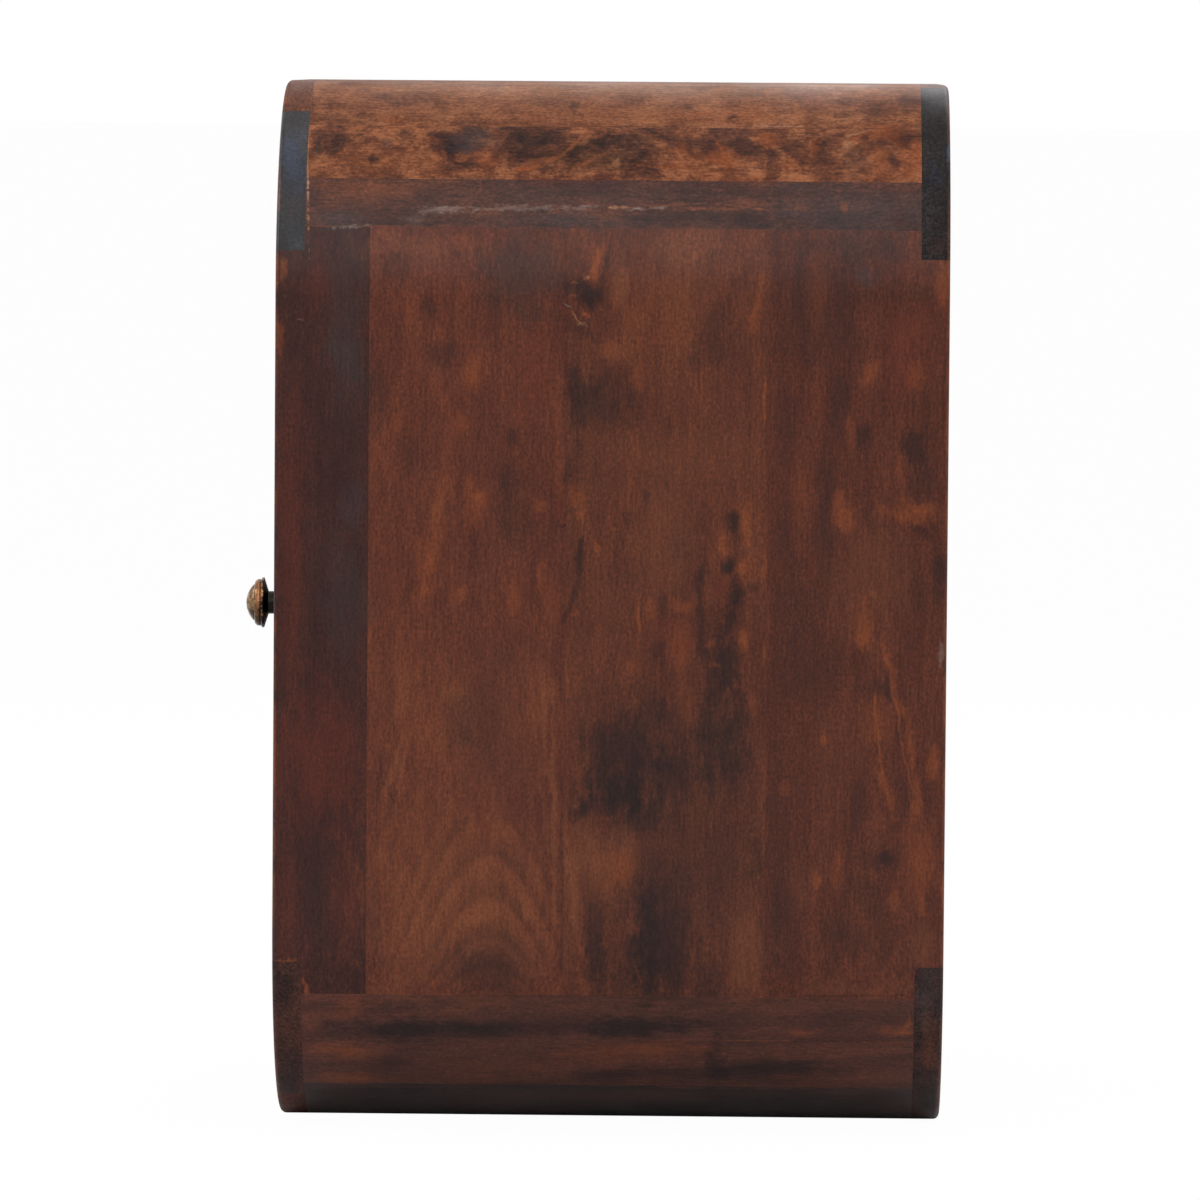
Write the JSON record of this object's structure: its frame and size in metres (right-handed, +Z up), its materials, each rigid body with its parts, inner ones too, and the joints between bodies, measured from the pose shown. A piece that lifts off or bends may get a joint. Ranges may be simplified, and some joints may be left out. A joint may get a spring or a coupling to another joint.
{
  "type": "bedside cabinet",
  "caption": "Wooden bedside cabinet with rounded corners, an inset hinged door, a round knob, a magnetic catch and a shelf inside.",
  "frame": {"origin": "middle of the flat base, on the floor", "axes": "+Z up; the door and its knob face -Y; +X is the right side of someone who faces the door"},
  "size_m": [0.4, 0.368, 0.55],
  "materials": {
    "side_board": "glossy stained",
    "stave": "glossy stained",
    "end_grain": "glossy stained",
    "rail": "glossy stained",
    "door_board": "glossy stained",
    "inner_wood": "satin oiled",
    "knob_brass": "antique",
    "hinge_brass": "antique",
    "screw_steel": "plain",
    "catch_steel": "zinc plated",
    "catch_plastic": "matte"
  },
  "bodies": {
    "cabinet": {"back_bottom_left_block": "end_grain", "back_bottom_rail": "rail", "back_bottom_right_block": "end_grain", "back_panel": "inner_wood", "back_top_left_block": "end_grain", "back_top_rail": "rail", "back_top_right_block": "end_grain", "bottom_board_1": "stave", "bottom_board_2": "stave", "bottom_left_stave_1": "stave", "bottom_left_stave_2": "stave", "bottom_left_stave_3": "stave", "bottom_right_stave_1": "stave", "bottom_right_stave_2": "stave", "bottom_right_stave_3": "stave", "cabinet_hinge_screws": "screw_steel", "catch_case": "catch_plastic", "catch_magnet": "catch_steel", "catch_screws": "screw_steel", "front_bottom_left_block": "end_grain", "front_bottom_rail": "rail", "front_bottom_right_block": "end_grain", "front_top_left_block": "end_grain", "front_top_rail": "rail", "front_top_right_block": "end_grain", "left_shelf_cleat": "inner_wood", "left_side_board_1": "side_board", "left_side_board_2": "side_board", "left_side_board_3": "side_board", "left_side_board_4": "side_board", "lower_hinge_cabinet_leaf": "hinge_brass", "lower_hinge_pin": "hinge_brass", "right_shelf_cleat": "inner_wood", "right_side_board_1": "side_board", "right_side_board_2": "side_board", "right_side_board_3": "side_board", "right_side_board_4": "side_board", "shelf": "inner_wood", "top_board_1": "stave", "top_board_2": "stave", "top_left_stave_1": "stave", "top_left_stave_2": "stave", "top_left_stave_3": "stave", "top_right_stave_1": "stave", "top_right_stave_2": "stave", "top_right_stave_3": "stave", "upper_hinge_cabinet_leaf": "hinge_brass", "upper_hinge_pin": "hinge_brass"},
    "door": {"door_board_1": "door_board", "door_board_2": "door_board", "door_board_3": "door_board", "door_hinge_screws": "screw_steel", "knob": "knob_brass", "knob_screw": "screw_steel", "lower_door_batten": "inner_wood", "lower_hinge_door_leaf": "hinge_brass", "strike_plate": "catch_steel", "strike_screw": "screw_steel", "upper_door_batten": "inner_wood", "upper_hinge_door_leaf": "hinge_brass"}
  },
  "joints": [
    {"name": "door_hinge", "type": "hinge", "parent": "cabinet", "child": "door", "pos_m": [-0.181, -0.178, 0.275], "axis": [0, 0, -1], "range_deg": [0, 170]}
  ]
}
